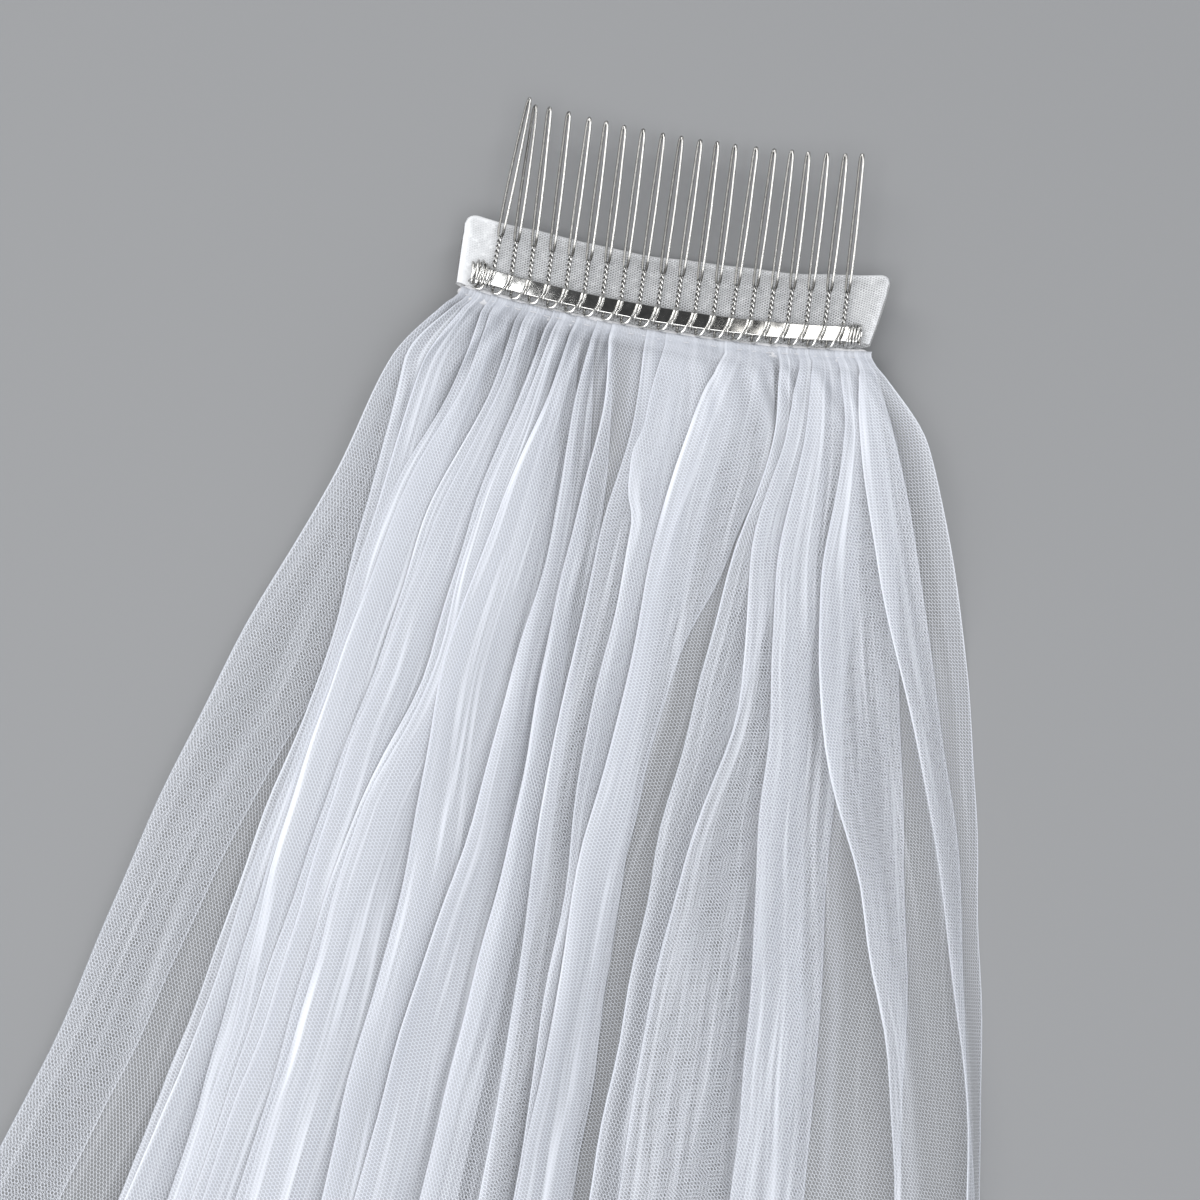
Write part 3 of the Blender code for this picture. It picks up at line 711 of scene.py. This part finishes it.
def band_relief(x, y, near_left, near_right):
    """Low waves, a crease along the band, full ends and one small tuck on the left."""
    wave = (0.09 * np.sin(0.31 * x - 0.55 * y) + 0.06 * np.sin(0.83 * x + 0.42 * y + 1.0)
            + 0.05 * np.sin(1.45 * x - 0.9 * y + 2.0))
    crease = 0.22 * bell(y - 9.6 - 0.03 * x, 0.55) - 0.20 * bell(y - 8.3 - 0.02 * x, 0.8)
    full_end = bell(near_right, 4.5) + 0.8 * bell(near_left, 5.5)
    tuck = bell(x + 35.2 - 0.16 * y, 0.5) - 0.8 * bell(x + 36.4 - 0.16 * y, 0.8)
    return wave + crease + 0.45 * full_end - 0.22 * tuck


def band_cover(x, y, high, near_left, near_right):
    """The mesh is closer at the rim, at both ends and along the seam."""
    patch = 0.05 * np.sin(x * 1.1 + 2.0 * np.sin(y * 0.6)) + 0.05 * np.sin(x * 2.3 - y * 1.7)
    rim = 1.4 * bell(high - y, 0.6) + bell(near_left, 0.8) + 0.6 * bell(near_right, 0.6)
    white_end = (0.42 * fade(4.5, 9.5, near_left) + 0.22 * fade(6.0, 34.0, near_left)
                 + 0.10 * fade(3.0, 12.0, near_right))
    lower = 0.20 * fade(-1.0, 2.5, y)
    return np.clip(0.16 + patch + 0.60 * rim + white_end + lower, 0.0, 1.0)


def build_band(material):
    """A strip of doubled net, folded over along the top, its raw edges under the seam roll."""
    steps = 170
    t = (np.arange(steps + 1) / steps)[:, None]
    x = BAND_LEFT + (BAND_RIGHT - BAND_LEFT) * t
    near_left = x - BAND_LEFT
    near_right = BAND_RIGHT - x
    # rounded upper corners, and a lower edge that rises at both ends
    drop = 2.6 * (1.0 - rounded(near_left / 2.6)) + 1.9 * (1.0 - rounded(near_right / 1.9))
    rise = 0.9 * fade(0.0, 3.5, near_left) + 2.6 * fade(0.0, 6.0, near_right)
    low = BAND_LOW - 0.6 + 0.6 * rise
    high = BAND_HIGH - drop + 0.7 * t + 0.16 * np.sin(x / 5.1) + 0.08 * np.sin(x / 2.3 + 1.0)
    thick = BAND_THICK / 2.0 * (0.25 + 0.75 * rounded(np.minimum(near_left, near_right) / 1.2))
    share, out, over = band_section()
    y = low + (high - low - thick) * share + thick * over
    # the right end swells out towards the top and draws in to the seam
    level = np.clip((y - BAND_LOW) / (BAND_HIGH - BAND_LOW), 0.0, 1.0)
    xx = (x + bell(near_right, 5.0) * (2.5 * np.sin(1.25 * level) - 1.3)
          + bell(near_left, 4.0) * (0.4 - 0.9 * level))
    front = smooth(0.0, 0.4, out) * (1.0 - np.abs(over))
    z = thick * out + front * band_relief(xx, y, near_left, near_right)
    # the mesh is measured round the section at one place, and lies at an angle to the fold
    measured_at = 60
    mesh_angle = 0.6
    step = np.hypot(np.diff(y[measured_at]), np.diff(z[measured_at]))
    run = np.concatenate(([0.0], np.cumsum(step)))
    row, col = face_corners(*y.shape)
    along = x[row, 0]
    around = run[col]
    c, s = math.cos(mesh_angle), math.sin(mesh_angle)
    uv_maps = {"net": np.stack((along * c - around * s, along * s + around * c), -1) * MM,
               "fan": np.stack((along, around), -1) / BAND_STREAK}
    cover = band_cover(xx, y, high, near_left, near_right)
    return mesh_piece("folded_band", placed(on_comb(xx, y, BAND_UNDERSIDE + BAND_THICK / 2.0 + z)),
                      grid_faces(*y.shape), material, uv_maps,
                      {"cover": cover, "drawn": np.ones_like(cover)})


def roll_point(radius, angle):
    """Place and height of a point on the seam roll's oval section."""
    return (RIDGE_MIDDLE + RIDGE_WIDER * radius * np.cos(angle),
            RIDGE_HEIGHT + RIDGE_LOWER * radius * np.sin(angle))


def build_seam(material):
    """The rolled seam between band and veil, puckered by hand sewing."""
    steps = 420
    sides = 24
    inset = 0.9
    t = (np.arange(steps + 1) / steps)[:, None]
    x = BAND_LEFT + inset + (BAND_RIGHT - BAND_LEFT - 2.0 * inset) * t
    rng = random.Random(31)
    puff = np.zeros_like(x)
    place = x[0, 0]
    while place < x[-1, 0]:
        puff += (0.02 + 0.10 * rng.random()) * bell(x - place, 0.7 + 1.5 * rng.random())
        place += 1.0 + 2.6 * rng.random()
    # round ends, cut off where this share of the section is left
    least_section = 0.02
    end = np.maximum(rounded(np.minimum(t, 1.0 - t) * SEAM_SPAN / 2.2), math.sqrt(least_section))
    lump = 0.08 * bell(x + 37.0, 2.8) + 0.06 * bell(x - 37.0, 2.4)
    a = ring_angles(sides)
    fine = 0.018 * np.sin(2.0 * math.pi * x / 0.92 + 3.2 * np.sin(x / 3.0) + 1.5 * np.sin(x / 1.1))
    fine = fine * (0.6 + 0.4 * np.sin(a - 0.4))
    y, z = roll_point(RIDGE_RADIUS * end * (0.90 + puff + lump + fine), a)
    y = y + 0.10 * np.sin(x / 2.9) + 0.07 * np.sin(x / 1.27 + 0.5)
    xx = x + 0.25 * np.cos(a) * np.sin(x / 1.9)
    row, col = face_corners(steps + 1, sides, True)
    around = np.stack((x[row, 0] * MM * 1.3, col * 0.36 * MM), -1).reshape(-1, 2)
    caps = np.zeros((2 * sides, 2))
    return mesh_piece("puckered_seam", placed(on_comb(xx, y, z)), tube_faces(steps + 1, sides),
                      material, {"net": np.concatenate((around, caps))})


def build_stitches(material):
    """Short running stitches of white thread along the lower side of the seam roll."""
    thread_radius = 0.09
    verts, faces = [], []
    rng = random.Random(21)
    x = BAND_LEFT + 2.0
    while x < BAND_RIGHT - 3.0:
        length = 1.3 + 0.7 * rng.random()
        lean = 0.30 * (rng.random() - 0.5)
        turn = math.radians(118.0 + 8.0 * rng.random())
        s = np.linspace(0.0, 1.0, 9)
        y, z = roll_point(RIDGE_RADIUS * 0.98 + 0.36 * np.sin(math.pi * s) ** 0.6 - 0.08, turn)
        v, f = tube(on_comb(x + length * s, y + lean * (s - 0.5), z), thread_radius, 6)
        base = len(verts)
        verts.extend(v)
        faces.extend([tuple(base + k for k in q) for q in f])
        x += length + 0.7 + 0.9 * rng.random()
    return mesh_piece("seam_stitches", placed(verts), faces, material)


# ------------------------------------------------------------------------------ the comb
def tooth_path(index):
    """One tooth of the single wire: up the stem, round the tip and down again."""
    rng = random.Random(500 + index)
    stem_low = 2.15
    stem_high = 8.3 + 0.5 * rng.random()
    stem_turns = 3.0
    off = 0.27
    up = curve_through(((HOOK_X, HOOK_Y, HOOK_Z), (-2.50, -3.02, LEVEL - 0.15), (-1.85, -2.92, LEVEL + 0.25),
                        (-1.28, -2.18, FRONT - 0.05), (-0.92, -1.40, FRONT), (-0.62, -0.55, FRONT),
                        (-0.40, 0.5, FRONT), (-0.33, 1.45, FRONT - 0.02), (-off, stem_low, LEVEL)), 24)
    # the two wires of the stem turn round each other
    t = np.linspace(0.0, 1.0, 56)
    spin = math.pi - 2.0 * math.pi * stem_turns * (1.0 - t)
    stem_up = np.stack((off * np.cos(spin), stem_low + (stem_high - stem_low) * t,
                        LEVEL + off * np.sin(spin)), 1)
    stem_down = stem_up[::-1] * (-1.0, 1.0, 1.0)
    stem_down[:, 2] = 2.0 * LEVEL - stem_down[:, 2]
    spread = 0.46 + 0.12 * rng.random()
    left_leg = curve_through(((-off, stem_high, LEVEL), (-spread + 0.08, stem_high + 1.3, LEVEL),
                              (-spread, 13.5, LEVEL), (-spread - 0.04, 22.0, LEVEL),
                              (-spread + 0.06, 30.0, LEVEL), (-0.38, TOOTH_TIP_Y - 2.4, LEVEL),
                              (-0.22, TOOTH_TIP_Y - 0.55, LEVEL)), 22)
    right_leg = left_leg[::-1] * (-1.0, 1.0, 1.0)
    tip = np.array([(-0.14, TOOTH_TIP_Y - 0.33, LEVEL), (0.0, TOOTH_TIP_Y - 0.25, LEVEL),
                    (0.14, TOOTH_TIP_Y - 0.33, LEVEL)])
    down = curve_through(((off, stem_low, LEVEL), (0.29, 1.45, FRONT - 0.02), (0.19, 0.5, FRONT),
                          (-0.03, -0.55, FRONT), (-0.34, -1.45, FRONT - 0.03), (-0.42, -2.02, LEVEL),
                          (-0.30, -1.80, LEVEL - 0.64), (0.10, -1.25, UNDER), (0.80, -1.35, UNDER),
                          (TOOTH_PITCH - 3.00, -1.95, UNDER), (TOOTH_PITCH + HOOK_X, HOOK_Y, HOOK_Z)), 28)
    parts = (up[:-1], stem_up[:-1], left_leg[:-1], tip, right_leg[1:], stem_down[1:], down[1:-1])
    # how bright each part is painted, as painted highlights and painted shade: in the stem each wire
    # shines where it comes to the front, the left leg lies in painted shade, and so does the foot of the
    # right leg; the wire back to the next hook is painted darker along its way
    left_leg_painted_shade = 0.16 + 0.16 * rng.random()
    right_leg_painted_shine = 0.66 + 0.10 * rng.random()
    foot = np.clip((right_leg[1:, 1] - stem_high) / 2.6, 0.0, 1.0)
    tones_and_painted_light = (0.95, 0.44 + 0.36 * np.sin(spin[:-1]), left_leg_painted_shade, 0.60,
             right_leg_painted_shine * (0.12 + 0.88 * smooth(0.55, 1.0, foot)),
             0.44 + 0.36 * np.sin(spin[:0:-1] + math.pi), np.linspace(0.85, 0.45, len(down) - 2))
    sizes = (WIRE, STEM_WIRE, WIRE, WIRE, WIRE, STEM_WIRE, WIRE)
    path = np.concatenate(parts)
    tone_and_painted_light = np.concatenate([np.broadcast_to(value, len(part)) for value, part in zip(tones_and_painted_light, parts)])
    size = np.repeat(sizes, [len(part) for part in parts])
    # the tooth leans to its tip's place and rises towards it
    tip_x, tip_rise = TEETH[index]
    base_x = TOOTH_FIRST + TOOTH_PITCH * index
    tip_along = COMB_RADIUS * math.asin(tip_x / (COMB_RADIUS - LEVEL))
    edge = STRIP_WIDTH / 2.0
    s = np.clip((path[:, 1] - edge) / (TOOTH_TIP_Y - edge), 0.0, 1.0)
    path[:, 0] += base_x + (tip_along - base_x) * (0.8 * s + 0.2 * s * s)
    path[:, 2] += tip_rise * s * s
    return path, tone_and_painted_light, size


def coil_path(x_from, x_to, turns, seed, messy):
    """Wire laid round the strip. The larger messy is, the more unevenly its turns stand off it."""
    rng = random.Random(seed)
    half_width = STRIP_WIDTH / 2.0 + WIRE + 0.04
    half_height = STRIP_THICK / 2.0 + WIRE + 0.03
    count = int(turns * 16)
    points = []
    for k in range(count + 1):
        a = 2.0 * math.pi * turns * k / count - 0.5 * math.pi
        c, s = math.cos(a), math.sin(a)
        inner = min(1.0, 4.0 * k * (count - k) / count ** 2)
        grow = 1.0 + messy * (0.5 + 0.5 * math.sin(0.37 * k + rng.random())) * inner
        points.append((x_from + (x_to - x_from) * k / count + 0.45 * messy * math.sin(0.61 * k),
                       half_width * grow * math.copysign(abs(s) ** 0.6, s),
                       LEVEL + half_height * grow * math.copysign(abs(c) ** 0.7, c)))
    return np.array(points)


def even_wire(path, tone_and_painted_light):
    """A stretch of wire with one painted brightness, its tone and painted light, and the full radius."""
    return path, np.full(len(path), tone_and_painted_light), np.full(len(path), WIRE)


def build_wire(material):
    """One wire: an uneven coil on the left, twenty teeth in a row, a close coil on the right."""
    sides = 8
    least_step = 0.02
    last_hook = np.array([(TOOTH_FIRST + TOOTH_PITCH * TOOTH_COUNT + HOOK_X, HOOK_Y, HOOK_Z)])
    stretches = [even_wire(coil_path(-40.3, -37.0, 6.5, 3, 0.50), 0.85),
                 *[tooth_path(index) for index in range(TOOTH_COUNT)],
                 even_wire(last_hook, 0.6),
                 even_wire(coil_path(36.6, 39.1, 4.0, 5, 0.10), 0.8)]
    path, tone_and_painted_light, size = (np.concatenate(values) for values in zip(*stretches))
    bent = on_comb(*path.T)
    keep = np.concatenate(([True], np.linalg.norm(np.diff(bent, axis=0), axis=1) > least_step))
    verts, faces = tube(bent[keep], size[keep], sides)
    return mesh_piece("comb_wire", placed(verts), faces, material,
                      painted={"tone_and_painted_light": np.repeat(tone_and_painted_light[keep], sides)})


def build_strip(material):
    """The flat spine with bevelled edges, a face that bulges a little, and rounded ends."""
    steps = 160
    bevel = 0.14
    corner = 0.04
    half = STRIP_LENGTH / 2.0
    x = half * np.linspace(-1.0, 1.0, steps + 1)[:, None]
    end = 0.12 + 0.88 * rounded((half - np.abs(x)) / 1.6)
    w = STRIP_WIDTH / 2.0
    right = [(w - bevel, 0.0), (w - corner, corner), (w, bevel), (w, STRIP_THICK - bevel),
             (w - corner, STRIP_THICK - corner), (w - bevel, STRIP_THICK), (w - 0.22, STRIP_THICK + 0.004)]
    left = [(-across, up) for across, up in reversed(right)]
    outline = np.array(left[-1:] + right + [(0.0, STRIP_THICK + 0.008)] + left[:-1])
    y = end * outline[:, 0]
    z = STRIP_UNDERSIDE + outline[:, 1] + 0.012 * np.sin(x / 1.9) + 0.010 * np.sin(x / 0.83 + 1.0)
    verts = placed(on_comb(x, y, z))
    return mesh_piece("comb_strip_polished", verts, tube_faces(steps + 1, len(outline)), material,
                      painted={"tone_and_painted_light": np.full(len(verts), 0.80)})


# --------------------------------------------------------------------- camera and lights
def aim(obj, target):
    obj.rotation_euler = (Vector(target) - obj.location).to_track_quat("-Z", "Y").to_euler()


def build_camera():
    data = bpy.data.cameras.new("camera")
    data.lens = CAMERA_LENS
    data.sensor_width = 36.0
    data.clip_start = 0.01
    data.clip_end = 20.0
    cam = bpy.data.objects.new("camera", data)
    cam.location = CAMERA_PLACE
    aim(cam, CAMERA_TARGET)
    bpy.context.scene.collection.objects.link(cam)
    bpy.context.scene.camera = cam


def soft_light(name, place, size, power, colour):
    data = bpy.data.lights.new(name, "AREA")
    data.shape = "RECTANGLE"
    data.size, data.size_y = size
    data.energy = power
    data.color = colour
    lamp = bpy.data.objects.new(name, data)
    lamp.location = place
    aim(lamp, LIGHT_TARGET)
    bpy.context.scene.collection.objects.link(lamp)


def build_studio():
    """Sky, three soft lights and the floor."""
    world = bpy.data.worlds.new("studio")
    world.use_nodes = True
    tree = world.node_tree
    sky = tree.nodes["Background"]
    set_inputs(sky, {"Color": (0.93, 0.96, 1.0, 1.0)})
    # a darker patch high behind the comb, where the polished strip mirrors the room
    where = tree.nodes.new("ShaderNodeTexCoord")
    toward = vector_node(tree, "DOT_PRODUCT", where.outputs["Generated"], (0.0, 0.41, 0.91))
    patch = map_range(tree, toward, {"From Min": 0.84, "From Max": 0.97, "To Min": 0.47, "To Max": 0.06})
    tree.links.new(patch, sky.inputs["Strength"])
    bpy.context.scene.world = world
    for light in LIGHTS:
        soft_light(*light)
    grey, _, bsdf = new_material("studio_floor")
    set_inputs(bsdf, {"Base Color": (0.268, 0.271, 0.277, 1.0), "Roughness": 0.9})
    corners = [(-FLOOR_SIZE, -FLOOR_SIZE, 0.0), (FLOOR_SIZE, -FLOOR_SIZE, 0.0),
               (FLOOR_SIZE, FLOOR_SIZE, 0.0), (-FLOOR_SIZE, FLOOR_SIZE, 0.0)]
    floor = mesh_piece("studio_floor", corners, [(0, 1, 2, 3)], grey, smooth_shade=False)


# ---------------------------------------------------------------------------------- main
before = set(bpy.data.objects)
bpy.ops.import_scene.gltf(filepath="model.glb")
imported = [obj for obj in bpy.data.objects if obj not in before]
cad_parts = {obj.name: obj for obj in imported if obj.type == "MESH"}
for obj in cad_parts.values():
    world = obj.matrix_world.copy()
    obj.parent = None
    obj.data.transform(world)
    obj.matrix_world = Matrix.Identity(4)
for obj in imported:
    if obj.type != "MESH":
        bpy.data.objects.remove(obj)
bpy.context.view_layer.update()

build_camera()
build_studio()
bpy.context.scene.cycles.transparent_max_bounces = 32
bpy.context.scene.cycles.max_bounces = 3
bpy.context.scene.cycles.diffuse_bounces = 1
bpy.context.scene.view_settings.view_transform = "Standard"

net_white = net_material("tulle_net_threads", (0.71, 0.74, 0.82), (0.82, 0.845, 0.90), NET_PITCH * MM,
                         thread=0.105, soft=0.24, streaks=2.3)
band_white = net_material("band_net_layers", (0.71, 0.72, 0.735), (0.835, 0.84, 0.85), BAND_PITCH * MM,
                          thread=0.20, soft=0.50, streaks=1.3)
# painted shade: the seam's darker low colour stands partly for the shade under the comb
seam_white = cloth_material("seam_net_layers", (0.60, 0.60, 0.62), (0.84, 0.84, 0.86), SEAM_PITCH * MM,
                            bump_size=0.10 * MM, noise_scale=1400.0)
metal = metal_material()

net = build_net(net_white)
band = build_band(band_white)
seam = build_seam(seam_white)
stitches = build_stitches(seam_white)
wire = build_wire(metal)
strip = build_strip(metal)

for piece in (net, band, seam, stitches, wire, strip):
    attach(piece, "root")
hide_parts("veil_tulle")
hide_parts("gather_band")
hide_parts("seam_ridge")
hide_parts("comb_strip")
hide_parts("comb_coil_left", "comb_coil_right",
            *["comb_tooth_%02d" % (i + 1) for i in range(TOOTH_COUNT)])
